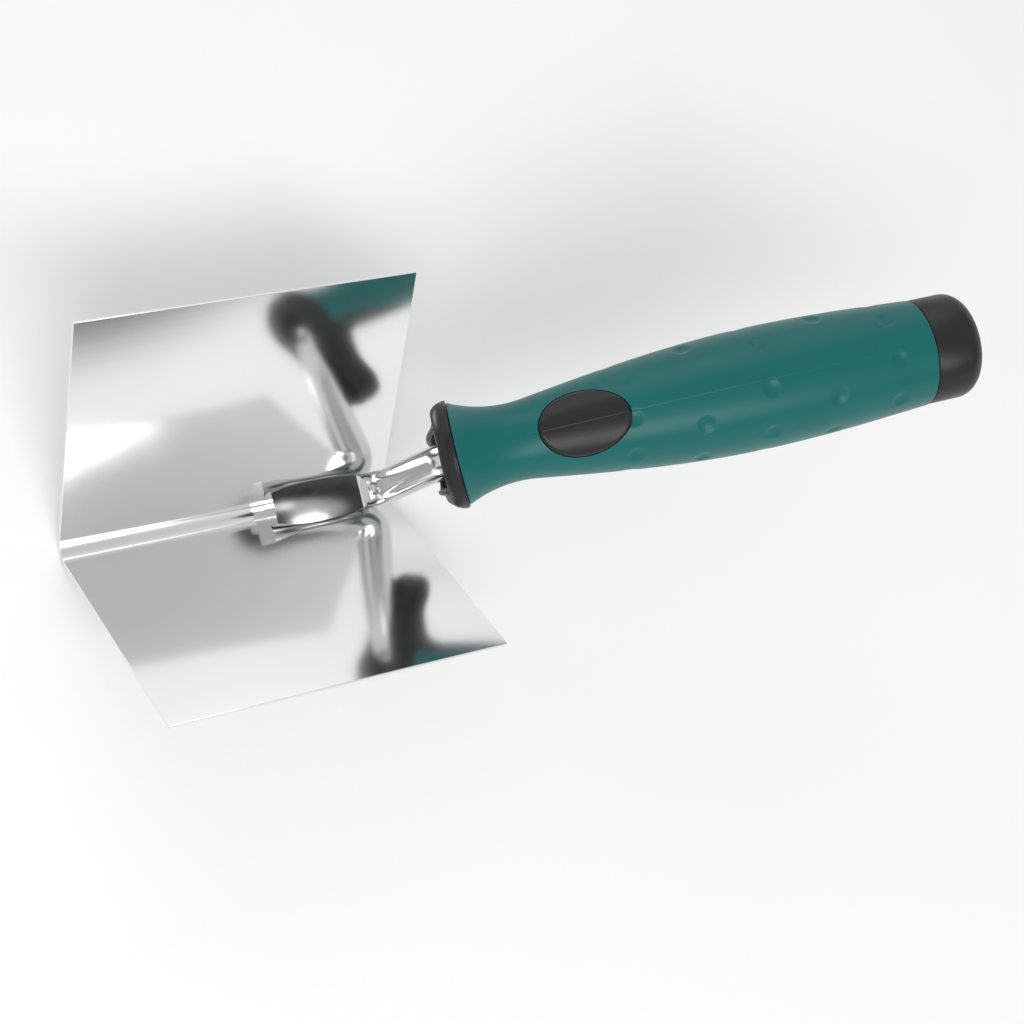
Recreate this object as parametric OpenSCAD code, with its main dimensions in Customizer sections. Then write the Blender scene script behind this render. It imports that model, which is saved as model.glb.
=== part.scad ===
// Inside corner trowel: a folded sheet blade on a bent round tang, in a moulded two-colour handle.
// Millimetres. +X runs along the fold towards the blade's front edge, +Z is the thumb side, up out of
// the open V, and Y = 0 is the tool's symmetry plane. The origin is on the ridge, at mid-length.

/* [Blade] */
// Length along the fold
blade_len = 80; // [60:1:120]
// Width of each wing, from the outer corner line to its long edge
wing_w = 60; // [45:1:80]
// Sheet thickness
sheet_t = 0.7; // [0.5:0.1:1.2]
// Inside radius of the fold
fold_r = 4; // [3:0.1:6]
// Angle between the wings
fold_angle = 90; // [85:1:100]

/* [Tang] */
// Rod diameter
rod_d = 8; // [6:0.1:10]
// Length of the foot that lies in the fold, from the blade's rear edge
foot_len = 31; // [24:1:45]
// Distance from the blade's rear edge forward to the riser's axis, at the foot's height
riser_in = 2.6; // [0:0.1:10]
// Height of the handle's axis over the foot's axis, where the riser meets it
riser_h = 43.6; // [36:0.1:60]
// Forward lean of the riser
riser_lean = 3; // [0:0.5:8]
// Centreline radius of the elbow over the blade
elbow_r = 5.2; // [4.6:0.1:9]
// Centreline radius of the bend into the handle
neck_bend_r = 10; // [8:0.1:14]
// Plastic left between the end of the shank and the end cap's spigot
shank_clear = 15.5; // [5:0.5:45]
// Extra half-width that pressing gives the foot at its middle
foot_bulge = 0.7; // [0:0.1:1]
// Height of the pressed dish over the foot's axis, at its two ends
dish_end_h = 1.8; // [1:0.1:3]
// Height of the pressed dish over the foot's axis, at its middle
dish_mid_h = 0.3; // [0:0.1:0.9]

/* [Handle] */
// Upward tilt of the handle's axis towards the butt
handle_tilt = 15; // [5:1:30]
// Length of the green sleeve on the handle's axis
grip_len = 109.5; // [95:0.5:135]
// Distance of the belly from the front of the sleeve
belly_z = 72; // [60:1:85]
// Sleeve radius at the belly
belly_r = 13.75; // [12:0.05:16]
// Distance of the neck's rear end from the front of the sleeve
neck_z = 16.5; // [12:0.5:20]
// Sleeve radius at the neck's rear end
neck_r = 8.85; // [8:0.05:10.5]
// Radius of the hollow flare in front of the neck, seen from the side
flare_r = 30; // [24:1:40]
// Sleeve radius at the butt
butt_r = 12.1; // [11:0.05:13]
// Wall of the sleeve
sleeve_wall = 2.4; // [2:0.1:3]

/* [Guard] */
// Forward lean of the guard's ring from square to the handle's axis
ring_tilt = 15; // [8:1:20]
// Thickness of the ring
ring_t = 4.4; // [3:0.1:6]
// Radius of the ring
ring_r = 11.8; // [10.5:0.1:14]
// Height of the ring's centre over the handle's axis
ring_up = 1.4; // [0:0.1:3]
// Reach of the finger hook below the handle's axis
hook_reach = 30.3; // [24:0.1:36]
// Half-width of the hook at its root
hook_half_w = 10; // [8:0.1:11.5]
// Wall left behind the channel in the hook
hook_wall = 1.8; // [1.4:0.1:2.4]
// Half-width of the channel in the hook and of the mouth in the ring
mouth_half_w = 6.3; // [5.4:0.1:7.5]
// Length of the tongue under the neck, from the front of the sleeve
tongue_len = 31; // [24:1:40]
// Half-width of the tongue at the guard
tongue_half_w = 7.4; // [6:0.1:8]

/* [Thumb pad] */
// Distance of the pad's centre from the front of the sleeve
pad_z = 26.5; // [22:0.5:35]
// Length of the pad
pad_len = 20.4; // [16:0.1:26]
// Width of the pad
pad_w = 14; // [10:0.1:16]
// Height of the pad over the sleeve
pad_proud = 0.35; // [0:0.05:0.8]

/* [End cap] */
// Length of the cap behind the sleeve
cap_len = 12.3; // [10:0.1:18]
// Radius of the cap's rounded rim
cap_round = 4.5; // [3:0.1:6]
// Radius of the spigot that plugs the core
spigot_r = 6.5; // [5:0.1:7.5]
// Length of the spigot
spigot_len = 14; // [8:1:20]

/* [Fits] */
// Gap between moulded pieces that seat on each other
fit_gap = 0.15; // [0.05:0.05:0.4]

/* [Hidden] */

steel_colour = [0.80, 0.81, 0.82];
rod_colour = [0.72, 0.73, 0.75];
green_colour = [0.00, 0.42, 0.39];
black_colour = [0.16, 0.16, 0.17];

round_fn = 96;
soft_fn = 28;
fold_steps = 30;
tip_steps = 24;

// Blade section: heights are measured from the ridge's lowest line.
half_angle = fold_angle / 2;
fold_out_r = fold_r + sheet_t;
fold_centre_z = fold_out_r;
outer_corner_z = fold_centre_z - fold_out_r / sin(half_angle);
inner_corner_z = outer_corner_z + sheet_t / sin(half_angle);
wing_flat = wing_w - fold_out_r / tan(half_angle);
rear_x = -blade_len / 2;

// Tang: the foot rests on both wings, or in the fold when it is thinner than the fold's radius.
rod_r = rod_d / 2;
foot_z = max(inner_corner_z + rod_r / sin(half_angle), sheet_t + rod_r);
foot_dir = 180;
riser_dir = 90 - riser_lean;
handle_dir = 180 - handle_tilt;
elbow = [rear_x + riser_in, foot_z];
neck = elbow + riser_h * [tan(riser_lean), 1];
elbow_turn = riser_dir - foot_dir;
neck_turn = handle_dir - riser_dir;
elbow_set = elbow_r * tan(abs(elbow_turn) / 2);
neck_set = neck_bend_r * tan(abs(neck_turn) / 2);
riser_len = riser_h / cos(riser_lean);
rod_relief = 0.02;
rod_lap = 0.3;

// Pressed foot: the dish runs from behind the front end to the elbow's start.
dish_from = elbow.x + elbow_set;
dish_to = rear_x + foot_len;
dish_half = (dish_to - dish_from) / 2;
dish_sag = dish_end_h - dish_mid_h;
dish_r = (dish_half ^ 2 + dish_sag ^ 2) / (2 * dish_sag);
dish_half_w = 3 * rod_r;
ear_below = 0.7;
ear_inset = 0.4;
ear_sink = 0.1;
ear_half_w = rod_r + foot_bulge;
ear_rise = foot_bulge + ear_sink;
ear_r = (dish_half ^ 2 + ear_rise ^ 2) / (2 * ear_rise);

// Sleeve outline: flare, rise to the belly and fall to the butt, each meeting the next in line.
flare_z = -8;
rise_slope = (belly_r - neck_r) * PI / 2 / (belly_z - neck_z);
join_angle = atan(rise_slope);
flare_centre = [neck_z - flare_r * sin(join_angle), neck_r + flare_r * cos(join_angle)];
flare_start = asin((flare_z - flare_centre.x) / flare_r);
flare_steps = 14;
body_steps = 12;
flare_points = [for (i = [0 : flare_steps - 1])
    let (a = flare_start + (join_angle - flare_start) * i / flare_steps)
    [flare_centre.x + flare_r * sin(a), flare_centre.y - flare_r * cos(a)]];
rise_points = [for (i = [0 : body_steps - 1])
    let (t = i / body_steps)
    [neck_z + (belly_z - neck_z) * t, neck_r + (belly_r - neck_r) * sin(90 * t)]];
fall_points = [for (i = [0 : body_steps])
    let (t = i / body_steps)
    [belly_z + (grip_len - belly_z) * t, belly_r - (belly_r - butt_r) * (1 - cos(90 * t))]];
outline = concat(flare_points, rise_points, fall_points);

// Core
bore_r = rod_r + fit_gap;
bore_over = 3;
core_short = 2;
core_end = grip_len - core_short;
shank_len = core_end - spigot_len - shank_clear;
spigot_bore_r = spigot_r + fit_gap;

// Guard outlines, in the ring's own frame: [up the ring's face, forward from its rear face]
ring_edge = 1.3;
hook_front = 6.6;
hook_front_up = -0.63 * hook_reach;
hook_front_r = 50;
hook_front_slope = 0.25;
hook_front_steps = 12;
hook_tip_r = 2.7;
hook_thick = 5.8;
hook_tip = [hook_tip_r - hook_reach, hook_front - hook_thick + hook_tip_r];
hook_root_up = 4;
hook_root_w = hook_half_w + 1;
hook_end_w = hook_half_w - 0.8;
arch_r = 8.6;
web_t = 2.9;
arch_centre = [-neck_r - web_t - arch_r, hook_front - hook_thick - arch_r];
web_back = -10.5;
web_flare = 4.5;

// Tongue under the neck
tongue_tip_r = 4.2;
tongue_root_z = 6;
tongue_bond = 0.4;

// Channel in the hook and mouth in the ring
mouth_top = 6.1;
mouth_round = [mouth_top - mouth_half_w, 0];
mouth_depth = 5;
mouth_end = 3.2;
mouth_end_w = mouth_half_w - 1.2;
channel_floor_r = arch_r + hook_wall;

// End cap
cap_step = 0.1;
cap_r = butt_r - cap_step;

// A unit direction in the symmetry plane, as [x, z]
function toward(angle) = [cos(angle), sin(angle)];

// Points along an arc, both ends included
function arc_points(centre, r, from_angle, to_angle, steps) =
    [for (i = [0 : steps]) centre + r * toward(from_angle + (to_angle - from_angle) * i / steps)];

// Stands a shape drawn in x, y up in the symmetry plane.
module side_plane() {
    rotate([90, 0, 0]) children();
}

// Local z on the handle's axis towards the butt, local x on the thumb side.
module handle_frame() {
    translate([neck.x, 0, neck.y]) rotate([0, handle_tilt - 90, 0]) children();
}

// Local x up in the ring's rear face, local z square to it towards the butt.
module guard_frame() {
    handle_frame() rotate([0, ring_tilt, 0]) children();
}

module rod_bend(corner, from_dir, turn, bend_r, r) {
    side = sign(turn);
    start = corner - bend_r * tan(abs(turn) / 2) * toward(from_dir);
    centre = start + bend_r * toward(from_dir + 90 * side);
    first = side > 0 ? from_dir - 90 : from_dir + 90 + turn;
    translate([centre.x, centre.y, 0]) rotate([0, 0, first])
        rotate_extrude(angle = abs(turn), $fn = round_fn) translate([bend_r, 0]) circle(r = r);
}

// Straight length whose ends run `lap` into its neighbours, a hair thinner than they are
module rod_length(start, dir, len, r, lap_to = rod_lap) {
    begin = start - rod_lap * toward(dir);
    translate([begin.x, begin.y, 0]) rotate([0, 90, dir])
        cylinder(r = r - rod_relief, h = rod_lap + len + lap_to, $fn = round_fn);
}

// The rod from the elbow's corner to the shank's end, at radius r
module upper_rod(r, extra = 0) {
    side_plane() {
        rod_bend(elbow, foot_dir, elbow_turn, elbow_r, r);
        rod_length(elbow + elbow_set * toward(riser_dir), riser_dir,
                   riser_len - elbow_set - neck_set, r);
        rod_bend(neck, riser_dir, neck_turn, neck_bend_r, r);
        rod_length(neck + neck_set * toward(handle_dir), handle_dir,
                   shank_len + extra - neck_set, r, 0);
    }
}

// Foot bar with the ears that pressing the dish pushes out of its sides
module foot_bar() {
    side_plane() rod_length([dish_to - rod_lap, foot_z], foot_dir, dish_to - dish_from - rod_lap, rod_r);
    translate([(dish_from + dish_to) / 2, 0, foot_z - ear_below])
        linear_extrude(ear_below + dish_end_h) intersection() {
            for_ear_side(1);
            for_ear_side(-1);
        }
}

// One side of the ears' plan outline
module for_ear_side(side) {
    intersection() {
        translate([0, side * (ear_half_w - ear_r)]) circle(r = ear_r, $fn = 4 * round_fn);
        translate([-dish_half + ear_inset, -2 * rod_r]) square([2 * (dish_half - ear_inset), 4 * rod_r]);
    }
}

module dish_cut() {
    middle = (dish_from + dish_to) / 2;
    intersection() {
        translate([middle, dish_half_w, foot_z + dish_mid_h + dish_r]) rotate([90, 0, 0])
            cylinder(r = dish_r, h = 2 * dish_half_w, $fn = 2 * round_fn);
        translate([dish_from, -dish_half_w, foot_z])
            cube([2 * dish_half, 2 * dish_half_w, 2 * rod_r]);
    }
}

// Turned solid with the sleeve's outline, moved in or out by `grow`
module handle_form(grow, z_to = grip_len) {
    intersection() {
        rotate_extrude($fn = round_fn) polygon(concat(
            [[0, flare_z]],
            [for (p = outline) [p.y + grow, p.x]],
            [[0, grip_len]]));
        translate([-2 * belly_r, -2 * belly_r, flare_z]) cube([4 * belly_r, 4 * belly_r, z_to - flare_z]);
    }
}

// Everything in front of the ring's rear face, moved back by `back`
module ahead_of_ring(back = 0) {
    size = 6 * ring_r;
    rotate([0, ring_tilt, 0]) translate([-size / 2, -size / 2, back - size]) cube(size);
}

// Outline that tapers from half-width w at `root` to a round end of radius r at `end`, along -x
function taper_outline(ahead, root, w, r, end) =
    let (taper = asin((w - r) / (root - end - r)),
         side = [root, 0] + w * toward(90 + taper))
    concat(
        [[ahead, -side.y], [side.x, -side.y]],
        arc_points([end + r, 0], r, 270 - taper, 90 + taper, tip_steps),
        [side, [ahead, side.y]]);

// Block with the tongue's outline, open below the handle's axis
module tongue_block(gap) {
    rotate([0, 90, 180]) linear_extrude(2 * ring_r) polygon(taper_outline(
        2 * ring_r, -tongue_root_z, tongue_half_w + gap, tongue_tip_r + gap, -tongue_len - gap));
}

module pad_block(gap) {
    translate([0, 0, pad_z]) rotate([0, 90, 0]) linear_extrude(2 * belly_r)
        scale([pad_len / 2 + gap, pad_w / 2 + gap]) circle(r = 1, $fn = round_fn);
}

// Extrudes a side outline [up, forward] right across the tool, in the guard's frame.
module across() {
    width = 4 * ring_r;
    translate([0, width / 2, 0]) rotate([90, 0, 0]) linear_extrude(width) mirror([0, 1]) children();
}

// Extrudes a front outline [up, across] right through the guard, from front to back.
module through() {
    depth = 4 * ring_r;
    translate([0, 0, -depth / 2]) linear_extrude(depth) children();
}

module ring_body() {
    translate([ring_up, 0, -ring_t]) rotate_extrude($fn = round_fn) union() {
        translate([0, ring_edge]) square([ring_r, ring_t - ring_edge]);
        square([ring_r - ring_edge, ring_t]);
        translate([ring_r - ring_edge, ring_edge]) circle(r = ring_edge, $fn = soft_fn);
    }
}

// How far the hook's front edge stands ahead of the ring's rear face, at a place up that face
function front_edge(up) = min(
    hook_front - (up - hook_front_up) ^ 2 / (2 * hook_front_r),
    ring_t + hook_front_slope * (hook_root_up - up));

module hook_body() {
    intersection() {
        across() polygon(concat(
            [[hook_root_up, web_back], [hook_root_up, ring_edge]],
            [for (i = [1 : hook_front_steps])
                let (up = hook_root_up + (hook_tip.x - hook_root_up) * i / hook_front_steps)
                [up, front_edge(up)]],
            arc_points(hook_tip, hook_tip_r, 135, 270, tip_steps),
            [[arch_centre.x, arch_centre.y + arch_r]],
            arc_points(arch_centre, arch_r, 90, 0, tip_steps),
            [[arch_centre.x + arch_r, web_back]]));
        union() {
            intersection() {
                through() polygon(taper_outline(2 * ring_r, 0, hook_root_w, hook_end_w, -hook_reach));
                translate([-hook_reach, 0, 0]) rotate([0, 90, 0]) linear_extrude(2 * hook_reach)
                    polygon([[2 * ring_r, -hook_root_w], [2 * ring_r, hook_root_w],
                             [0, hook_root_w], [-web_flare, 0], [0, -hook_root_w]]);
            }
            rotate([0, -ring_tilt, 0]) tongue_block(0);
        }
    }
}

// Channel down the hook's front, opening into the ring's mouth
module guard_channel() {
    ahead = 4 * ring_r;
    floor_start = asin((-mouth_depth - arch_centre.y) / channel_floor_r);
    intersection() {
        across() polygon(concat(
            [[mouth_top, ahead], [mouth_top, -mouth_depth]],
            arc_points(arch_centre, channel_floor_r, floor_start, 90, tip_steps),
            [[-hook_reach, arch_centre.y + channel_floor_r], [-hook_reach, ahead]]));
        through() union() {
            polygon(taper_outline(mouth_round.x, 0, mouth_half_w, mouth_end_w, mouth_end - hook_reach));
            translate(mouth_round) circle(r = mouth_half_w, $fn = round_fn);
        }
    }
}

module blade() {
    centre = [0, fold_centre_z];
    rise = wing_flat * toward(90 - half_angle);
    outer = arc_points(centre, fold_out_r, half_angle - 180, -half_angle, fold_steps);
    inner = arc_points(centre, fold_r, -half_angle, half_angle - 180, fold_steps);
    color(steel_colour)
        rotate([90, 0, 90]) translate([0, 0, rear_x]) linear_extrude(blade_len) polygon(concat(
            outer,
            [outer[fold_steps] + rise, inner[0] + rise],
            inner,
            [inner[fold_steps] + [-rise.x, rise.y], outer[0] + [-rise.x, rise.y]]));
}

module tang() {
    color(rod_colour) union() {
        upper_rod(rod_r);
        difference() {
            foot_bar();
            dish_cut();
        }
    }
}

module core() {
    color(black_colour) difference() {
        handle_frame() difference() {
            handle_form(-sleeve_wall, core_end);
            ahead_of_ring(fit_gap);
            translate([0, 0, core_end - spigot_len])
                cylinder(r = spigot_bore_r, h = spigot_len + core_short, $fn = round_fn);
        }
        upper_rod(bore_r, bore_over);
    }
}

module sleeve() {
    color(green_colour) handle_frame() difference() {
        handle_form(0);
        ahead_of_ring(fit_gap);
        handle_form(fit_gap - sleeve_wall);
        pad_block(fit_gap);
        tongue_block(fit_gap);
    }
}

module guard() {
    color(black_colour) difference() {
        union() {
            guard_frame() ring_body();
            difference() {
                guard_frame() hook_body();
                handle_frame() difference() {
                    handle_form(fit_gap);
                    tongue_block(-tongue_bond);
                    ahead_of_ring();
                }
            }
            handle_frame() difference() {
                intersection() {
                    handle_form(0);
                    tongue_block(0);
                }
                ahead_of_ring(-tongue_bond);
            }
        }
        guard_frame() guard_channel();
        handle_frame() difference() {
            handle_form(fit_gap - sleeve_wall);
            ahead_of_ring();
        }
    }
}

module thumb_pad() {
    color(black_colour) handle_frame() difference() {
        intersection() {
            handle_form(pad_proud);
            pad_block(0);
        }
        handle_form(fit_gap - sleeve_wall);
    }
}

module end_cap() {
    color(black_colour) handle_frame() translate([0, 0, grip_len + fit_gap]) {
        rotate_extrude($fn = round_fn) union() {
            square([cap_r, cap_len - cap_round]);
            square([cap_r - cap_round, cap_len]);
            translate([cap_r - cap_round, cap_len - cap_round]) circle(r = cap_round, $fn = round_fn);
        }
        translate([0, 0, -spigot_len]) cylinder(r = spigot_r, h = spigot_len, $fn = round_fn);
    }
}

blade();
tang();
core();
sleeve();
guard();
thumb_pad();
end_cap();
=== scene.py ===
# %% [markdown]
# # An inside corner trowel
# A plasterer draws this tool down the corner where two walls meet. A thin steel sheet, folded to a
# right angle, hangs on a bent steel rod, and the rod runs back into a handle moulded in two colours.
# The engineering model is already made and packed. This lesson loads it as a fixed frame and puts a
# finished skin on each part, in the same place and at the same size.

# %% Load the frame
import math

import bmesh
import bpy
import numpy as np
from mathutils import Matrix, Vector


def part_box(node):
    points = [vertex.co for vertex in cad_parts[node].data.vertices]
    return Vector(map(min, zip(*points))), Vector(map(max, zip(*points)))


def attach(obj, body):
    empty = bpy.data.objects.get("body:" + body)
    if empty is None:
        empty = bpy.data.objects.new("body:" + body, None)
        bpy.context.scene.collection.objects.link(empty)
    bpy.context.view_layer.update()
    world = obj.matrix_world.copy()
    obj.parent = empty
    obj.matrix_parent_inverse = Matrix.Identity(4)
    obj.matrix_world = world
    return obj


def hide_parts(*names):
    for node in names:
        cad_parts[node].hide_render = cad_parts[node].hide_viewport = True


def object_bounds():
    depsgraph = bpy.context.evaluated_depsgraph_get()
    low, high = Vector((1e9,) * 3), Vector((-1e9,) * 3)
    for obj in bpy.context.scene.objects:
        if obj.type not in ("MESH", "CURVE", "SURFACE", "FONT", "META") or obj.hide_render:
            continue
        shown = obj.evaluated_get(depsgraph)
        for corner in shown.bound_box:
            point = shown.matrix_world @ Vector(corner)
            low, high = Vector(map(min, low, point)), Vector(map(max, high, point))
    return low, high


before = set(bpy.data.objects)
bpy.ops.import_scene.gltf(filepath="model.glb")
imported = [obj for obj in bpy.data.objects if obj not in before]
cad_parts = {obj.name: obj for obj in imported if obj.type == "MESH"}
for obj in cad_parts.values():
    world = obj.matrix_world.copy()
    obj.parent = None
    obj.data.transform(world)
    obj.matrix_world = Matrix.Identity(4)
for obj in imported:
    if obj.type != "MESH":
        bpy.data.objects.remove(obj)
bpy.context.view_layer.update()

print("nodes:", sorted(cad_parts))

# %% [markdown]
# ## Sizes
# Every size is in millimetres, under the name that the engineering model gives it. The handle is
# easiest to shape standing up, with its axis on Z, so its pieces are made in that upright frame and
# turned into place at the end. The neck is where the handle's axis meets the riser of the rod.

# %% Sizes of the blade and the rod
MM = 0.001
blade_len, wing_w, sheet_t, fold_r = 80.0, 60.0, 0.7, 4.0
rod_r, foot_len, riser_in, riser_h, riser_lean = 4.0, 31.0, 2.6, 43.6, math.radians(3)
elbow_r, neck_bend_r, shank_len = 5.2, 10.0, 78.0
dish_end_h, dish_mid_h, foot_bulge = 1.8, 0.3, 0.7
rear_x = -blade_len / 2
foot_z = sheet_t + rod_r

# %% Sizes of the handle
tilt = math.radians(15)
grip_len, belly_z, belly_r = 109.5, 72.0, 13.75
neck_z, neck_r, flare_r, butt_r = 16.5, 8.85, 30.0, 12.1
sleeve_wall, fit_gap = 2.4, 0.15
ring_tilt, ring_t, ring_r, ring_up = math.radians(15), 4.4, 11.8, 1.4
hook_reach, hook_half_w, mouth_half_w = 30.3, 10.0, 6.3
tongue_len, tongue_half_w, tongue_tip_r, tongue_root_z = 31.0, 7.4, 4.2, 6.0
pad_z, pad_len, pad_w, pad_proud = 26.5, 20.4, 14.0, 0.35
cap_len, cap_round, cap_r = 12.3, 4.5, 12.0

neck = Vector((rear_x + riser_in + riser_h * math.tan(riser_lean), 0, foot_z + riser_h))
thumb_side = Vector((math.sin(tilt), 0, math.cos(tilt)))
butt_side = Vector((-math.cos(tilt), 0, math.sin(tilt)))
upright = Matrix((thumb_side, (0, 1, 0), butt_side)).transposed().to_4x4()
upright.translation = neck
print("neck at", [round(v, 1) for v in neck])

# %% [markdown]
# ## Two ways of making a skin
# A surface that follows a rule is best laid out as a grid of points: rows along it, columns round
# it. Four neighbours make a face, and a grid whose rows and columns both close is watertight.

# %% Grid skin
def piece_from(name, points, faces):
    """A mesh object from points in millimetres and faces, with doubles merged."""
    mesh = bpy.data.meshes.new(name)
    mesh.from_pydata([tuple(p) for p in points], [], [tuple(int(i) for i in f) for f in faces])
    bm = bmesh.new()
    bm.from_mesh(mesh)
    bmesh.ops.remove_doubles(bm, verts=bm.verts, dist=1e-4)
    bmesh.ops.dissolve_degenerate(bm, edges=bm.edges, dist=1e-5)
    bmesh.ops.recalc_face_normals(bm, faces=bm.faces)
    bm.to_mesh(mesh)
    bm.free()
    piece = bpy.data.objects.new(name, mesh)
    bpy.context.scene.collection.objects.link(piece)
    return piece


def grid_piece(name, rows, round_rows=False, close_ends=False):
    """A skin over rows of points, each row closed on itself; rows are (count, columns, 3) in mm."""
    rows = np.asarray(rows, float)
    high, wide = rows.shape[:2]
    index = np.arange(high * wide).reshape(high, wide)
    below = index if round_rows else index[:-1]
    above = np.roll(index, -1, 0) if round_rows else index[1:]
    faces = np.stack([below, np.roll(below, -1, 1), np.roll(above, -1, 1), above], -1).reshape(-1, 4)
    faces = [list(f) for f in faces]
    if close_ends:
        faces += [list(index[0][::-1]), list(index[-1])]
    return piece_from(name, rows.reshape(-1, 3), faces)

# %% Finishing touches shared by every piece
def soften(piece, angle=35):
    """Smooth shading, with every edge sharper than the angle kept crisp."""
    bm = bmesh.new()
    bm.from_mesh(piece.data)
    for face in bm.faces:
        face.smooth = True
    for edge in bm.edges:
        edge.smooth = len(edge.link_faces) == 2 and edge.calc_face_angle(0) < math.radians(angle)
    bm.to_mesh(piece.data)
    bm.free()


def put_in_place(piece, turn=None):
    """Scales a finished piece from millimetres to metres and turns it into the frame."""
    place = Matrix.Scale(MM, 4) @ (turn if turn is not None else Matrix.Identity(4))
    piece.data.transform(place)
    piece.data.update()


def arc(centre, radius, start, stop, steps):
    """Points on an arc in a plane, both ends included, angles in degrees."""
    angles = np.radians(np.linspace(start, stop, steps + 1))
    return np.stack([centre[0] + radius * np.cos(angles), centre[1] + radius * np.sin(angles)], 1)


def report(piece):
    faces = sum(len(p.vertices) - 2 for p in piece.data.polygons)
    print(piece.name, faces, "triangles,", [round(1000 * d, 1) for d in piece.dimensions], "mm")

# %% [markdown]
# ## Nodes as sentences
# Shader and geometry trees are long when each node is wired by hand. A Wire stands for one value in
# a tree. Python's own operators on wires add the Math nodes, so a rule reads as it would on paper.

# %% Wires and trees
class Wire:
    """A value in a node tree. Arithmetic on it adds Math nodes."""

    def __init__(self, bench, socket):
        self.bench, self.socket = bench, socket

    def math(self, operation, *others):
        return self.bench.add("ShaderNodeMath", {"operation": operation}, [self, *others])

    def after(self, operation, number):
        """The sum with a plain number in front of the wire, as in 1 - wire."""
        return self.bench.add("ShaderNodeMath", {"operation": operation}, [number, self])

    def __add__(self, other):
        return self.math("ADD", other)

    def __sub__(self, other):
        return self.math("SUBTRACT", other)

    def __mul__(self, other):
        return self.math("MULTIPLY", other)

    def __truediv__(self, other):
        return self.math("DIVIDE", other)

    def __pow__(self, other):
        return self.math("POWER", other)

    def __radd__(self, other):
        return self.math("ADD", other)

    def __rsub__(self, other):
        return self.after("SUBTRACT", other)

    def __rtruediv__(self, other):
        return self.after("DIVIDE", other)

    def __abs__(self):
        return self.math("ABSOLUTE")


class Bench:
    """A node tree, shader or geometry, with one way of adding any node to it."""

    def __init__(self, tree):
        self.tree = tree

    def add(self, kind, settings=None, inputs=None, out=0):
        node = self.tree.nodes.new(kind)
        for name, value in (settings or {}).items():
            setattr(node, name, value)
        pairs = inputs.items() if isinstance(inputs, dict) else enumerate(inputs or [])
        for key, value in pairs:
            if isinstance(value, Wire):
                self.tree.links.new(value.socket, node.inputs[key])
            else:
                node.inputs[key].default_value = value
        self.last = node
        return Wire(self, node.outputs[out])

# %% [markdown]
# ## The finishes
# Each finish starts from one base colour and then gets what the real surface has: moulding grain in
# the plastics, drawn lines and faint uneven polish in the steel. The grain is a Bump, so it catches
# the light only close by.

# %% A finish and its parts
def finish(name, metallic=0.0, roughness=0.4, shine=0.5):
    material = bpy.data.materials.new(name)
    material.use_nodes = True
    bench = Bench(material.node_tree)
    shader = material.node_tree.nodes["Principled BSDF"]
    shader.inputs["Metallic"].default_value = metallic
    shader.inputs["Roughness"].default_value = roughness
    shader.inputs["Specular IOR Level"].default_value = shine
    return material, bench, shader


def place(bench, stretch=(1, 1, 1)):
    """Object coordinates, stretched: a small number draws the pattern out along that axis."""
    where = bench.add("ShaderNodeTexCoord", out=3)
    return bench.add("ShaderNodeMapping", {}, {"Vector": where, "Scale": stretch})


def noise(bench, where, scale, detail=3.0):
    return bench.add("ShaderNodeTexNoise", {}, {"Vector": where, "Scale": scale, "Detail": detail})


def connect(bench, wire, shader, name):
    bench.tree.links.new(wire.socket, shader.inputs[name])


def rough_and_bump(bench, shader, base, spread, grain, height):
    """Roughness wanders round its base in patches a centimetre wide; the grain gives a Bump in metres."""
    patches = noise(bench, place(bench), 90.0, 4.0)
    connect(bench, base + (patches - 0.5) * spread, shader, "Roughness")
    bump = bench.add("ShaderNodeBump", {}, {"Height": grain, "Strength": 1.0, "Distance": height})
    connect(bench, bump, shader, "Normal")


def tint(bench, shader, dark, light, mask):
    """Mixes two shades by a mask; the Mix node keeps its factor and its two colours at these places."""
    factor, first, second, result = 0, 6, 7, 2
    inputs = {factor: mask, first: (*dark, 1), second: (*light, 1)}
    shade = bench.add("ShaderNodeMix", {"data_type": "RGBA"}, inputs, out=result)
    connect(bench, shade, shader, "Base Color")

# %% Moulded plastics
grain_scale, grain_height, plastic_spread = 2600.0, 0.00003, 0.10


def moulded(name, dark, light, roughness, shine):
    material, bench, shader = finish(name, 0.0, roughness, shine)
    tint(bench, shader, dark, light, noise(bench, place(bench), 60.0))
    grain = noise(bench, place(bench), grain_scale, 2.0)
    rough_and_bump(bench, shader, roughness, plastic_spread, grain, grain_height)
    return material


green_rubber = moulded("green_rubber", (0.0, 0.104, 0.099), (0.0, 0.122, 0.116), 0.38, 0.30)
satin_black = moulded("satin_black", (0.010, 0.010, 0.0103), (0.014, 0.014, 0.0144), 0.36, 0.32)

# %% Steels
line_scale, steel_spread = 900.0, 0.03


def steel(name, dark, light, roughness, along, height):
    """Steel with fine lines drawn out along X by the given share, and a Bump of their height."""
    material, bench, shader = finish(name, 1.0, roughness)
    tint(bench, shader, dark, light, noise(bench, place(bench), 40.0))
    lines = noise(bench, place(bench, (along, 1, 1)), line_scale, 2.0)
    rough_and_bump(bench, shader, roughness, steel_spread, lines, height)
    return material


polished_sheet = steel("polished_sheet", (0.81, 0.81, 0.81), (0.85, 0.85, 0.85), 0.14, 0.03, 0.0000015)
bright_rod = steel("bright_rod", (0.66, 0.665, 0.67), (0.72, 0.72, 0.72), 0.13, 0.05, 0.0000004)
print("finishes:", [m.name for m in (green_rubber, satin_black, polished_sheet, bright_rod)])

# %% [markdown]
# ## The blade
# One strip of stainless sheet, folded over a round bar. Its section is an outline that runs along
# the outside, over one long edge and back along the inside. The long edges are dressed with a file,
# so a Bevel takes the sharpness off every edge and gives it a thin line of light.

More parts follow.
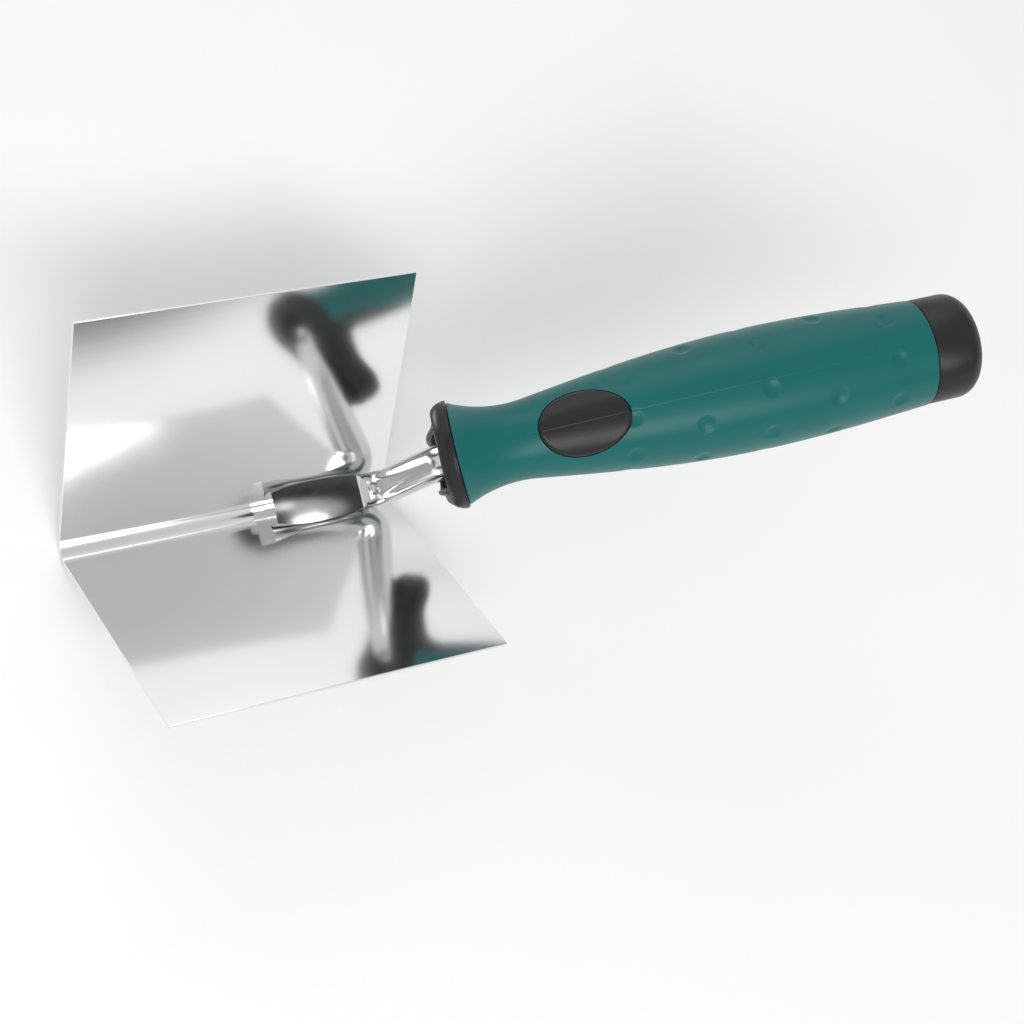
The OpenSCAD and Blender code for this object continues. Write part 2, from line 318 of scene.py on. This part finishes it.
# %% Fold and wings
fold_out_r = fold_r + sheet_t
wing_flat = wing_w - fold_out_r
outer = arc((0, fold_out_r), fold_out_r, -135, -45, 40)
inner = arc((0, fold_out_r), fold_r, -45, -135, 40)
rise = wing_flat * math.sqrt(0.5)
section = np.concatenate([
    outer, [outer[-1] + (rise, rise), inner[0] + (rise, rise)],
    inner, [inner[-1] + (-rise, rise), outer[0] + (-rise, rise)]])
rows = [[(x, y, z) for y, z in section] for x in (rear_x, -rear_x)]
blade = grid_piece("blade", rows, close_ends=True)

# %% Dressed edges
def apply_modifiers(piece):
    """Turns a piece's live modifiers into plain mesh."""
    view = bpy.context.evaluated_depsgraph_get()
    baked = bpy.data.meshes.new_from_object(piece.evaluated_get(view))
    piece.modifiers.clear()
    piece.data = baked
    baked.name = piece.name


bevel = blade.modifiers.new("dressed", "BEVEL")
bevel.width, bevel.segments = 0.14, 3
bevel.limit_method, bevel.angle_limit = "ANGLE", math.radians(50)
apply_modifiers(blade)
soften(blade, 32)
put_in_place(blade)
report(blade)

# %% [markdown]
# ## The rod
# One round bar makes the foot, the riser and the shank. It is laid out as sections along a path of
# straight lengths and two bends. Where the foot was pressed for welding its top is dished, so the
# section there is a circle cut off by a flat, and the metal pushed aside widens it at the middle.

# %% Path of the rod
foot_end = rear_x + foot_len
elbow = np.array([rear_x + riser_in, foot_z])
neck_point = np.array([neck.x, neck.z])


def heading(angle):
    return np.array([math.cos(angle), math.sin(angle)])


spacing, bend_steps, shank_steps = 0.5, 40, 20


def bent_path():
    """Points of the rod's axis and the way it runs there, from the foot's end to the shank's."""
    ways = [math.pi, math.pi / 2 - riser_lean, math.pi - tilt]
    corners = [(elbow, elbow_r), (neck_point, neck_bend_r)]
    start = np.array([foot_end, foot_z])
    path = [(start, ways[0])]
    for (corner, bend_r), before, after in zip(corners, ways, ways[1:]):
        turn = (after - before + math.pi) % (2 * math.pi) - math.pi
        reach = bend_r * math.tan(abs(turn) / 2)
        begin = corner - reach * heading(before)
        count = max(2, int(np.linalg.norm(begin - start) / spacing))
        path += [(start + (begin - start) * i / count, before) for i in range(1, count + 1)]
        side = math.copysign(1, turn)
        centre = begin + bend_r * heading(before + side * math.pi / 2)
        for i in range(1, bend_steps + 1):
            way = before + turn * i / bend_steps
            path.append((centre - side * bend_r * heading(way + math.pi / 2), way))
        start = path[-1][0]
    end = neck_point + shank_len * heading(ways[-1])
    path += [(start + (end - start) * i / shank_steps, ways[-1]) for i in range(1, shank_steps + 1)]
    return path


print("rod's path:", len(bent_path()), "points")

# %% Sections of the rod
dish_start = elbow[0] + elbow_r * math.tan((math.pi / 2 + riser_lean) / 2)
dish_mid, dish_half = (dish_start + foot_end) / 2, (foot_end - dish_start) / 2
shoulder = 0.9
widest_lean, full_share = math.radians(66), 1.6


def pressed(x):
    """Height of the foot's top over its axis, and how far its sides stand out, along the foot."""
    away = min(1.0, abs(x - dish_mid) / dish_half)
    height = dish_mid_h + (dish_end_h - dish_mid_h) * away ** 2
    climb = np.clip((dish_start + shoulder - x) / shoulder, 0, 1)
    ledge = (rod_r - height) * (1 - math.cos(climb * math.pi / 2))
    return height + ledge, foot_bulge * (1 - away ** 2)


def rod_section(at, way, top, wide, around=64, across=24):
    """One closed section: the round under side, then the top, which may be cut flat."""
    lean = min(math.asin(min(1, top / rod_r)), widest_lean)
    lower = np.linspace(math.pi - lean, 2 * math.pi + lean, around)
    side = math.cos(lean)
    upper = np.linspace(side, -side, across + 2)[1:-1]
    y = np.concatenate([np.cos(lower), upper])
    z = np.concatenate([np.sin(lower), np.sqrt(1 - upper ** 2)])
    z = np.minimum(z * rod_r, top)
    level_share = np.clip(full_share - np.abs(z) / (rod_r / 2), 0, 1)
    y = y * (rod_r + wide * level_share)
    along = heading(way)
    up = np.array([along[1], -along[0]])
    return [(at[0] + up[0] * h, w, at[1] + up[1] * h) for w, h in zip(y, z)]

# %% Rod
rows = []
for at, way in bent_path():
    on_foot = abs(way - math.pi) < 1e-6 and at[0] > dish_start - 1e-6
    top, wide = pressed(at[0]) if on_foot else (rod_r, 0.0)
    rows.append(rod_section(at, way, top, wide))
tang = grid_piece("tang", rows, close_ends=True)
soften(tang, 30)
put_in_place(tang)
report(tang)

# %% [markdown]
# ## The grip's outline
# The handle is round everywhere, so one curve describes it: a hollow flare behind the guard, a long
# rise to the belly under the palm, and a slight fall to the butt. The sleeve, the thumb pad and the
# guard's tongue all lie on this one surface, which is what makes them look flush.

# %% Radius along the handle
rise_slope = (belly_r - neck_r) * math.pi / 2 / (belly_z - neck_z)
join_angle = math.atan(rise_slope)
flare_centre = (neck_z - flare_r * math.sin(join_angle), neck_r + flare_r * math.cos(join_angle))


def grip_radius(z):
    """Radius of the handle's surface at a distance from the neck, in millimetres."""
    z = np.asarray(z, float)
    flare = flare_centre[1] - np.sqrt(np.maximum(flare_r ** 2 - (z - flare_centre[0]) ** 2, 1.0))
    rise = neck_r + (belly_r - neck_r) * np.sin(math.pi / 2 * (z - neck_z) / (belly_z - neck_z))
    fall = belly_r - (belly_r - butt_r) * (1 - np.cos(math.pi / 2 * (z - belly_z) / (grip_len - belly_z)))
    return np.where(z < neck_z, flare, np.where(z < belly_z, rise, fall))


def rounding(distance, radius):
    """How far a rounded edge falls, at a distance in from the edge."""
    inward = np.clip(radius - np.asarray(distance, float), 0, radius)
    return radius - np.sqrt(radius ** 2 - inward ** 2)


print("radius at neck, belly, butt:", grip_radius([neck_z, belly_z, grip_len]).round(2))

# %% [markdown]
# ## The sleeve
# The green skin is soft rubber, moulded in a tool of two halves that leave a hairline along the
# thumb side. The grid has a narrow column pair there for that hairline. It starts at the guard's
# leaning face, so each column's front is found where the surface meets that plane.

# %% Sleeve blank
half_line, line_depth, rim_r = 0.11, 0.06, 0.28
round_columns, long_rows, inner_rows = 236, 284, 40
line_angle = half_line / 12
columns = np.concatenate([[0.0], np.linspace(line_angle, 2 * math.pi - line_angle, round_columns)])


def front_of(angle, gap, radius_of):
    """Where the surface meets the guard's face, along the handle, for one column."""
    z = 0.0
    for _ in range(30):
        z = (gap - radius_of(z) * math.cos(angle) * math.sin(ring_tilt)) / math.cos(ring_tilt)
    return z


def sleeve_rows():
    edge_steps = np.array([0, 0.03, 0.08, 0.16, rim_r])
    first = 0.6
    outside, inside = [], []
    for angle in columns:
        start = front_of(angle, fit_gap, grip_radius)
        middle_rows = np.linspace(start + first, grip_len - first, long_rows)
        z = np.concatenate([start + edge_steps, middle_rows, grip_len - edge_steps[::-1]])
        r = grip_radius(z) - rounding(z - start, rim_r) - rounding(grip_len - z, rim_r)
        r = r - line_depth * (angle == 0)
        outside.append(np.stack([r * math.cos(angle), r * math.sin(angle), z], 1))
        start = front_of(angle, fit_gap, lambda s: grip_radius(s) - sleeve_wall)
        z = np.linspace(grip_len, start, inner_rows)
        r = grip_radius(z) - sleeve_wall + fit_gap
        inside.append(np.stack([r * math.cos(angle), r * math.sin(angle), z], 1))
    return np.concatenate([np.array(outside).transpose(1, 0, 2), np.array(inside).transpose(1, 0, 2)])


rows = sleeve_rows()
sleeve = grid_piece("sleeve", rows, round_rows=True)
skin = sleeve.data.attributes.new("skin", "FLOAT", "POINT")
spots = np.zeros(len(sleeve.data.vertices) * 3)
sleeve.data.vertices.foreach_get("co", spots)
spots = spots.reshape(-1, 3)
on_skin = np.hypot(spots[:, 0], spots[:, 1]) > grip_radius(spots[:, 2]) - sleeve_wall / 2
skin.data.foreach_set("value", on_skin.astype(float))
report(sleeve)

# %% [markdown]
# ## Dimples by rule
# Shallow round dimples cover the grip in staggered rings. A Geometry Nodes tree works out, for each
# point of the skin, how far it is from the nearest dimple's centre, and sinks it by a bowl. The
# rule takes a few inputs: the first ring, the pitch, the count round the handle and the bowl's
# size. One place in every second ring is left plain, beside the thumb.

# %% Dimple tree
def dimple_tree():
    tree = bpy.data.node_groups.new("dimples", "GeometryNodeTree")
    face = tree.interface
    face.new_socket("Geometry", in_out="INPUT", socket_type="NodeSocketGeometry")
    for label, value in (("First ring", 37.0), ("Last ring", 101.0), ("Pitch", 15.7), ("Count", 8.0),
                         ("Offset", 7.5), ("Diameter", 4.2), ("Depth", 0.55), ("Rim", 0.10)):
        socket = face.new_socket(label, in_out="INPUT", socket_type="NodeSocketFloat")
        socket.default_value = value
    face.new_socket("Finish", in_out="INPUT", socket_type="NodeSocketMaterial")
    face.new_socket("Geometry", in_out="OUTPUT", socket_type="NodeSocketGeometry")
    bench = Bench(tree)
    bench.add("NodeGroupInput")
    given = {s.name: Wire(bench, s) for s in bench.last.outputs if s.name}
    position = bench.add("GeometryNodeInputPosition")
    bench.add("ShaderNodeSeparateXYZ", {}, [position])
    x, y, z = (Wire(bench, s) for s in bench.last.outputs)
    angle = y.math("ARCTAN2", x) * (180 / math.pi)
    reach = (x * x + y * y) ** 0.5
    ring = ((z - given["First ring"]) / given["Pitch"]).math("ROUND")
    last = ((given["Last ring"] - given["First ring"]) / given["Pitch"]).math("ROUND")
    ring = ring.math("MAXIMUM", 0.0).math("MINIMUM", last)
    second = ring.math("FLOORED_MODULO", 2.0)
    step = 360.0 / given["Count"]
    from_offset = angle - given["Offset"] - second * step * 0.5
    place_round = (from_offset / step).math("ROUND")
    aside = (from_offset - place_round * step) * reach * (math.pi / 180)
    along = z - given["First ring"] - ring * given["Pitch"]
    away = (aside * aside + along * along) ** 0.5 / (given["Diameter"] * 0.5)
    bowl = (1 - away * away) * given["Depth"]
    bowl = bowl.math("SMOOTH_MAX", 0.0, given["Rim"])
    far_away = -8.0
    bowl = bowl - bench.add("ShaderNodeMath", {"operation": "SMOOTH_MAX"}, [far_away, 0.0, given["Rim"]])
    plain = abs(place_round + 1).math("LESS_THAN", 0.5) * second
    skin = bench.add("GeometryNodeInputNamedAttribute", {"data_type": "FLOAT"}, {"Name": "skin"})
    sink = bowl * (1 - plain) * skin
    back = bench.add("ShaderNodeCombineXYZ", {}, [x / reach * sink * -1, y / reach * sink * -1, 0.0])
    moved = bench.add("GeometryNodeSetPosition", {}, {"Geometry": given["Geometry"], "Offset": back})
    real = bench.add("GeometryNodeRealizeInstances", {}, {"Geometry": moved})
    done = bench.add("GeometryNodeSetMaterial", {}, {"Geometry": real, "Material": given["Finish"]})
    tree.links.new(done.socket, tree.nodes.new("NodeGroupOutput").inputs[0])
    return tree


def with_nodes(piece, tree, values):
    """Puts a tree on a piece, sets its named inputs by their identifiers, and makes plain mesh."""
    names = {s.name: s.identifier for s in tree.interface.items_tree if getattr(s, "in_out", "") == "INPUT"}
    worker = piece.modifiers.new(tree.name, "NODES")
    worker.node_group = tree
    for label, value in values.items():
        worker[names[label]] = value
    apply_modifiers(piece)


with_nodes(sleeve, dimple_tree(), {"Depth": 0.55, "Finish": green_rubber})
report(sleeve)

# %% [markdown]
# ## Windows in the sleeve
# The thumb pad and the guard's tongue show through windows in the green skin. A Boolean with a
# tall block of each outline cuts them, a fit's gap wider than the piece that fills them.

# %% Outlines of the pad and the tongue
def taper_outline(ahead, root, half_w, end_r, end, steps=24):
    """An outline along -x: full width at the root, closing to a round end."""
    taper = math.degrees(math.asin((half_w - end_r) / (root - end - end_r)))
    side = np.array([root, 0]) + half_w * heading(math.radians(90 + taper))
    tip = arc((end + end_r, 0), end_r, 270 - taper, 90 + taper, steps)
    return np.concatenate([[(ahead, -side[1]), (side[0], -side[1])], tip, [side, (ahead, side[1])]])


def block(name, outline, low, high, to_space):
    """A closed prism over a plane outline; to_space turns (a, b, height) into a point."""
    rows = [[to_space(a, b, h) for a, b in outline] for h in (low, high)]
    return grid_piece(name, rows, close_ends=True)


def cut_out(piece, cutter):
    knife = piece.modifiers.new("cut", "BOOLEAN")
    knife.operation, knife.solver, knife.object = "DIFFERENCE", "EXACT", cutter
    apply_modifiers(piece)
    bpy.data.objects.remove(cutter)

# %% Cut the windows
pad_oval = arc((0, 0), 1, 0, 360, 128)[:-1] * (pad_len / 2 + fit_gap, pad_w / 2 + fit_gap)
near, far = 3, 25
cut_out(sleeve, block("pad_window", pad_oval, near, far, lambda a, b, h: (h, b, pad_z + a)))
tongue_plan = taper_outline(2 * ring_r, -tongue_root_z, tongue_half_w + fit_gap, tongue_tip_r + fit_gap,
                            -tongue_len - fit_gap)
cut_out(sleeve, block("tongue_window", tongue_plan, -far, -near, lambda a, b, h: (h, b, -a)))
soften(sleeve, 32)
put_in_place(sleeve, upright)
report(sleeve)

# %% [markdown]
# ## The thumb pad
# A hard oval that stands a hair proud of the rubber. It is laid out in stations along its length:
# each station runs across the top and back underneath, and the end stations close to a point.

# %% Pad
pad_edge_r, pad_depth = 0.55, 2


def pad_rows(stations=72, across=44):
    rows = []
    for turn in np.linspace(0, math.pi, stations):
        at = -math.cos(turn)
        half = pad_w / 2 * math.sin(turn)
        y = -half * np.cos(np.linspace(0, math.pi, across))
        y = np.concatenate([y[:across // 2], [-min(half, 0.1), 0, min(half, 0.1)], y[across // 2:]])
        z = np.full(y.shape, pad_z + at * pad_len / 2)
        edge = (1 - np.minimum(1, np.sqrt(at ** 2 + (2 * y / pad_w) ** 2))) * pad_w / 2
        top = np.sqrt((grip_radius(z) + pad_proud) ** 2 - y ** 2) - rounding(edge, pad_edge_r)
        top = top - line_depth * (y == 0) * (half > 0.2)
        low = np.sqrt((grip_radius(z) - pad_depth) ** 2 - y ** 2)
        rows.append(np.concatenate([np.stack([top, y, z], 1), np.stack([low, y, z], 1)[::-1]]))
    return rows


thumb_pad = grid_piece("thumb_pad", pad_rows())
soften(thumb_pad, 40)
put_in_place(thumb_pad, upright)
report(thumb_pad)

# %% [markdown]
# ## The guard
# Ring, hook and tongue are one soft-edged moulding, and no grid fits it. It is written instead as a
# distance: a rule that says, for any point, how far it is from the surface and on which side. Simple
# shapes join through a smooth minimum, which leaves the fillets that a mould maker would cut. The
# surface is then meshed where the distance is nought.

# %% Distances and soft joins
def soft_min(a, b, blend):
    overlap = np.maximum(blend - np.abs(a - b), 0) / blend
    return np.minimum(a, b) - overlap ** 2 * blend / 4


def soft_max(a, b, blend):
    return -soft_min(-a, -b, blend)


def outline_distance(outline, x, y):
    """Distance to a closed plane outline, negative inside it."""
    x, y = np.broadcast_arrays(x, y)
    best, sign = np.full(x.shape, 1e9), np.ones(x.shape)
    for (ax, ay), (bx, by) in zip(outline, np.roll(outline, 1, 0)):
        ex, ey, wx, wy = bx - ax, by - ay, x - ax, y - ay
        along = np.clip((wx * ex + wy * ey) / max(ex * ex + ey * ey, 1e-12), 0, 1)
        best = np.minimum(best, (wx - ex * along) ** 2 + (wy - ey * along) ** 2)
        tests = (y >= ay, y < by, ex * wy > ey * wx)
        flip = (tests[0] & tests[1] & tests[2]) | ~(tests[0] | tests[1] | tests[2])
        sign = np.where(flip, -sign, sign)
    return sign * np.sqrt(best)

# %% [markdown]
# The guard has its own frame: u runs up the ring's face, y across, and f forward from the ring's
# rear face. Its side view and its front view are two outlines, and the hook is where both hold. Each
# join has a blend, the width in millimetres over which one surface runs into the next.

# %% Outlines of the guard
hook_front, hook_thick, hook_tip_r, arch_r, web_t, web_back = 6.6, 5.8, 2.7, 8.6, 2.9, -10.5
hook_front_up, hook_front_r, hook_front_slope, hook_root_up = -0.63 * hook_reach, 50, 0.25, 4
hook_wall = 1.8
hook_tip = (hook_tip_r - hook_reach, hook_front - hook_thick + hook_tip_r)
arch_centre = (-neck_r - web_t - arch_r, hook_front - hook_thick - arch_r)
floor_r = arch_r + hook_wall
mouth_depth = 5.0
bead, seat_r, seat_f, seam = 4.2, 9.3, 3.1, 0.8


def front_edge(u):
    """How far the guard's front stands ahead of the ring's rear face."""
    bowed = hook_front - (u - hook_front_up) ** 2 / (2 * hook_front_r)
    return np.minimum(bowed, ring_t + hook_front_slope * (hook_root_up - u))


up_front = np.linspace(hook_root_up, hook_tip[0], 14)
side_outline = np.concatenate([
    [(hook_root_up, web_back)], np.stack([up_front, front_edge(up_front)], 1),
    arc(hook_tip, hook_tip_r, 135, 270, 14), [(arch_centre[0], arch_centre[1] + arch_r)],
    arc(arch_centre, arch_r, 90, 0, 16), [(arch_centre[0] + arch_r, web_back)]])
front_outline = taper_outline(2 * ring_r, 0, hook_half_w + 1, hook_half_w - 0.8, -hook_reach, 20)
lip_top, lip_w, lip_end_w, lip_end = 0.6, mouth_half_w + 1.9, mouth_half_w - 0.2, 1.3 - hook_reach
lip_outline = np.concatenate([
    taper_outline(lip_top, 0, lip_w, lip_end_w, lip_end, 20), arc((lip_top, 0), lip_w, 80, -80, 20)])
mouth_round, mouth_end_w, mouth_end = -0.2, mouth_half_w - 1.2, 3.2 - hook_reach
mouth_outline = np.concatenate([
    taper_outline(mouth_round, -0.4, mouth_half_w, mouth_end_w, mouth_end, 20),
    arc((mouth_round, 0), mouth_half_w, 80, -80, 20)])
tongue_outline = taper_outline(2 * ring_r, -tongue_root_z, tongue_half_w, tongue_tip_r, -tongue_len)
print("outline points:", [len(o) for o in (side_outline, front_outline, lip_outline, mouth_outline)])

# %% Blends and small offsets
crisp, edge, soft, round_over = 0.3, 0.5, 1.6, 2.8
lip_blend, web_blend, tongue_edge, tongue_blend, sleeve_edge = 0.9, 1.5, 0.35, 1.2, 0.2
ring_set_back, body_set_back, lip_base, lip_overlap = 0.2, 1.3, 0.6, 0.05
grip_share, flank_share = 0.97, 0.8
web_at, web_half_w = [-14, -4.5, 0, 1], [5.0, 6.9, hook_half_w, 14]
tip_rise_from, tip_rise_len, tip_rise = 5, 4, 0.09


# %% Ring, hook, lip and channel
def ring_shape(u, y, f):
    """A disc with a round front edge, let in at its face round the rod."""
    disc = np.hypot(u - ring_up, y)
    ring = soft_max(soft_max(disc - ring_r, f - ring_t + ring_set_back, bead), -f, crisp)
    face = soft_max(disc - seat_r, seat_f - f, seam)
    return soft_max(ring, -face, seam)


def hook_shape(u, y, f, side):
    """The hook and the web behind it: inside both outlines, and narrower towards the neck."""
    front = outline_distance(front_outline, u, y)
    body = soft_max(soft_max(side, f - front_edge(u) + body_set_back, soft), front, round_over)
    return soft_max(body, (np.abs(y) - np.interp(f, web_at, web_half_w)) * flank_share, web_blend)


def lip_shape(u, y, f, side):
    """The thin wall that stands round the channel's mouth."""
    lip = soft_max(outline_distance(lip_outline, u, y), f - front_edge(u), lip_blend)
    return np.maximum(lip, np.maximum(lip_base - f, side - lip_overlap))


def channel_shape(u, y, f):
    """The hollow down the hook's front, whose floor follows the finger arch and rises at the tip."""
    bend = np.sqrt(np.maximum(floor_r ** 2 - (u - arch_centre[0]) ** 2, 0.01))
    floor = np.where(u < arch_centre[0], arch_centre[1] + floor_r, arch_centre[1] + bend)
    at_tip = np.clip(hook_tip[0] + tip_rise_from - u, 0, tip_rise_len)
    floor = np.maximum(floor, -mouth_depth) + at_tip ** 2 * tip_rise
    return soft_max(outline_distance(mouth_outline, u, y), (floor - f) * flank_share, soft)

# %% The guard's distance
def guard_distance(u, y, f):
    x = u * math.cos(ring_tilt) - f * math.sin(ring_tilt)
    z = -u * math.sin(ring_tilt) - f * math.cos(ring_tilt)
    grip = (np.hypot(x, y) - grip_radius(z)) * grip_share
    tongue_side = np.maximum(outline_distance(tongue_outline, -z, np.abs(y)), x)

    side = outline_distance(side_outline, u, f)
    guard = soft_min(ring_shape(u, y, f), hook_shape(u, y, f, side), soft)
    guard = soft_min(guard, lip_shape(u, y, f, side), edge)
    tongue = soft_max(soft_max(grip, tongue_side, tongue_edge), f, crisp)
    guard = soft_min(guard, tongue, tongue_blend)

    sleeve_room = np.maximum(np.maximum(grip - fit_gap, f), -tongue_side)
    guard = soft_max(guard, -sleeve_room, sleeve_edge)
    core_room = np.maximum(grip + sleeve_wall - fit_gap, f)
    guard = np.maximum(guard, -core_room)
    return soft_max(guard, -channel_shape(u, y, f), edge)

# %% [markdown]
# ## Meshing a distance
# Each small cell that the surface passes through gets one point, at the mean of the crossings on its
# edges, and each grid edge that crosses the surface gets one face between its four cells. A few
# steps along the slope then bring every point exactly onto the surface.

# %% Surface of a distance
def surface_of(distance, low, high, step):
    axes = [np.arange(a, b + step, step) for a, b in zip(low, high)]
    field = distance(axes[0][:, None, None], axes[1][None, :, None], axes[2][None, None, :])
    field = np.broadcast_to(field, [len(a) for a in axes]).copy()
    shape = np.array(field.shape) - 1
    total, hits = np.zeros((*shape, 3)), np.zeros(shape)
    corners = [(i, j, k) for i in (0, 1) for j in (0, 1) for k in (0, 1)]

    def at(corner):
        return field[tuple(slice(c, c + n) for c, n in zip(corner, shape))]

    for first in corners:
        for axis in range(3):
            if first[axis]:
                continue
            second = tuple(c + (n == axis) for n, c in enumerate(first))
            a, b = at(first), at(second)
            cross = (a < 0) != (b < 0)
            part = np.where(cross, a / np.where(cross, a - b, 1), 0)
            spot = np.broadcast_to(np.array(first, float), (*shape, 3)).copy()
            spot[..., axis] = part
            total += spot * cross[..., None]
            hits += cross
    active = hits > 0
    index = np.full(shape, -1)
    index[active] = np.arange(active.sum())
    cells = np.argwhere(active)
    points = np.array(low) + step * (cells + total[active] / hits[active][:, None])
    faces = []
    for axis in range(3):
        others = [n for n in range(3) if n != axis]
        inner = [slice(1, -1)] * 3
        inner[axis] = slice(0, -1)
        ahead = [slice(1, -1)] * 3
        ahead[axis] = slice(1, None)
        a, b = field[tuple(inner)], field[tuple(ahead)]
        where = np.argwhere((a < 0) != (b < 0))
        quad = []
        for back in ((0, 0), (1, 0), (1, 1), (0, 1)):
            cell = where.copy()
            for n, step_back in zip(others, back):
                cell[:, n] += 1 - step_back
            quad.append(index[tuple(cell.T)])
        faces.append(np.stack(quad, 1))
    return points, np.concatenate(faces)


def drawn_onto(distance, points, rounds=3, probe=0.02):
    def change(way):
        return distance(*(points + probe * way).T) - distance(*(points - probe * way).T)

    for _ in range(rounds):
        here = distance(*points.T)
        slope = np.stack([change(way) / (2 * probe) for way in np.eye(3)], 1)
        size = np.maximum((slope ** 2).sum(1), 0.05)
        move = slope * (here / size)[:, None]
        points = points - np.clip(move, -0.12, 0.12)
    return points

# %% Guard
room_low, room_high, cell = (-31.5, -13.2, -34), (14.5, 13.2, 9.2), 0.34
spots, faces = surface_of(guard_distance, room_low, room_high, cell)
spots = drawn_onto(guard_distance, spots)
spots = np.stack([spots[:, 0], spots[:, 1], -spots[:, 2]], 1)
guard = piece_from("guard", spots, faces)
soften(guard, 60)
put_in_place(guard, upright @ Matrix.Rotation(ring_tilt, 4, "Y"))
report(guard)

# %% [markdown]
# ## The end cap
# A turned shape: a short wall that continues the grip, a round rim and a flat end. A profile swept
# round the axis makes it, with a pole at each end closed by one face.

# %% Cap
def cap_rows(columns_round=128):
    face = grip_len + fit_gap
    rim = arc((cap_r - cap_round, cap_len - cap_round), cap_round, 0, 90, 20)
    wall = [(0.05, 0.4), (cap_r - 0.2, 0.0), (cap_r - 0.06, 0.06), (cap_r, 0.2)]
    disc = [((cap_r - cap_round) * t, cap_len - 0.12 * (1 - t) ** 2) for t in (0.98, 0.9, 0.6, 0.3, 0.05)]
    rows = []
    for r, z in [*wall, *rim, *disc]:
        around = np.linspace(0, 2 * math.pi, columns_round, endpoint=False)
        rows.append(np.stack([r * np.cos(around), r * np.sin(around), np.full(columns_round, face + z)], 1))
    return rows


end_cap = grid_piece("end_cap", cap_rows(), close_ends=True)
soften(end_cap, 40)
put_in_place(end_cap, upright)
report(end_cap)

# %% [markdown]
# ## Joining the frame
# Each piece takes its finish, rides on the tool's one body and stands for its engineering part. The
# hidden core keeps its engineering shape and only gets the plastic's finish.

# %% Ride, replace and finish
dressed = [(blade, "blade", polished_sheet, "blade_steel"), (tang, "tang", bright_rod, "tang_steel"),
           (sleeve, "sleeve", green_rubber, "green_grip"), (guard, "guard", satin_black, "black_plastic"),
           (thumb_pad, "thumb_pad", satin_black, "black_plastic"),
           (end_cap, "end_cap", satin_black, "black_plastic")]
for piece, node, material, record_slot in dressed:
    piece.name = piece.data.name = "skin_" + node
    piece.data.materials.clear()
    piece.data.materials.append(material)
    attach(piece, "root")
    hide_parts(node)
    low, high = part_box(node)
    mine = np.array([v.co for v in piece.data.vertices])
    worst = max(abs(mine.min(0) - np.array(low)).max(), abs(mine.max(0) - np.array(high)).max())
    print(node, "box differs from the engineering part's by", round(float(worst) / MM, 2), "mm")
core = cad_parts["core"]
core.data.materials.clear()
core.data.materials.append(satin_black)

# %% [markdown]
# ## Floor, light and camera
# The tool stands on its fold over a pale floor. The sky is white low down and grey
# overhead, with a dark band between, as in a studio with a white sweep: the sheet mirrors the white,
# and the band draws dark streaks along the rod. Two softboxes put long highlights on the handle.

# %% Floor
low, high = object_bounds()
middle = (low + high) / 2
floor_mesh = bpy.data.meshes.new("floor")
span, level = 4.0, low.z - 0.0004
corners = [(-span, -span, level), (span, -span, level), (span, span, level), (-span, span, level)]
floor_mesh.from_pydata(corners, [], [(0, 1, 2, 3)])
floor = bpy.data.objects.new("floor", floor_mesh)
bpy.context.scene.collection.objects.link(floor)
floor_white, bench, shader = finish("floor_white", 0.0, 0.9, 0.1)
shader.inputs["Base Color"].default_value = (0.89, 0.89, 0.89, 1)
floor.data.materials.append(floor_white)

print("floor level:", round(level / MM, 2), "mm")

# %% Sky
world = bpy.data.worlds.new("studio")
bpy.context.scene.world = world
world.use_nodes = True
bench = Bench(world.node_tree)
bench.add("ShaderNodeTexCoord", out=0)
direction = Wire(bench, bench.last.outputs["Generated"])
bench.add("ShaderNodeSeparateXYZ", {}, [direction])
height = Wire(bench, bench.last.outputs["Z"])
bench.add("ShaderNodeValToRGB", {}, {"Fac": height * 0.5 + 0.5})
ramp = bench.last.color_ramp
stops = ((0.45, 0.92), (0.69, 1.05), (0.73, 0.08), (0.79, 0.08), (0.85, 0.85), (1.0, 0.62))
while len(ramp.elements) < len(stops):
    ramp.elements.new(1.0)
for stop, (at, shade) in zip(ramp.elements, stops):
    stop.position, stop.color = at, (shade, shade, shade, 1)
sky = world.node_tree.nodes["Background"]
world.node_tree.links.new(bench.last.outputs["Color"], sky.inputs["Color"])
sky.inputs["Strength"].default_value = 1.0
print("sky, brightness at each height:", [(round(2 * at - 1, 2), shade) for at, shade in stops])

# %% Camera
right = Vector((-0.84939, 0.23778, 0.47117))
above = Vector((-0.18021, -0.96977, 0.16452))
toward = Vector((0.49604, 0.05483, 0.86657))
camera = bpy.data.objects.new("camera", bpy.data.cameras.new("camera"))
bpy.context.scene.collection.objects.link(camera)
camera.data.sensor_width, camera.data.lens = 36.0, 80.1
camera.data.clip_start, camera.data.clip_end = 0.01, 50
aim = Vector((-0.0654, 0.0123, 0.0122))
turn = Matrix((right, above, toward)).transposed().to_4x4()
camera.matrix_world = Matrix.Translation(aim + toward * 0.536) @ turn
bpy.context.scene.camera = camera
print("camera:", camera.data.lens, "mm lens,", [round(v / MM) for v in camera.matrix_world.translation])

# %% Softboxes
def softbox(name, way, distance, size, power):
    """A wide soft light, aimed at the tool's middle."""
    lamp = bpy.data.objects.new(name, bpy.data.lights.new(name, "AREA"))
    lamp.data.shape, lamp.data.size, lamp.data.size_y = "RECTANGLE", size[0], size[1]
    lamp.data.energy = power
    way = Vector(way).normalized()
    lamp.location = middle + way * distance
    lamp.rotation_mode = "QUATERNION"
    lamp.rotation_quaternion = way.to_track_quat("Z", "Y")
    bpy.context.scene.collection.objects.link(lamp)


softbox("key", (0.3, 0.6, 0.9), 0.9, (0.9, 0.3), 4.5)
softbox("fill", (0.1, -0.9, 0.6), 1.0, (1.0, 0.4), 2)
bpy.context.scene.view_settings.view_transform = "Standard"
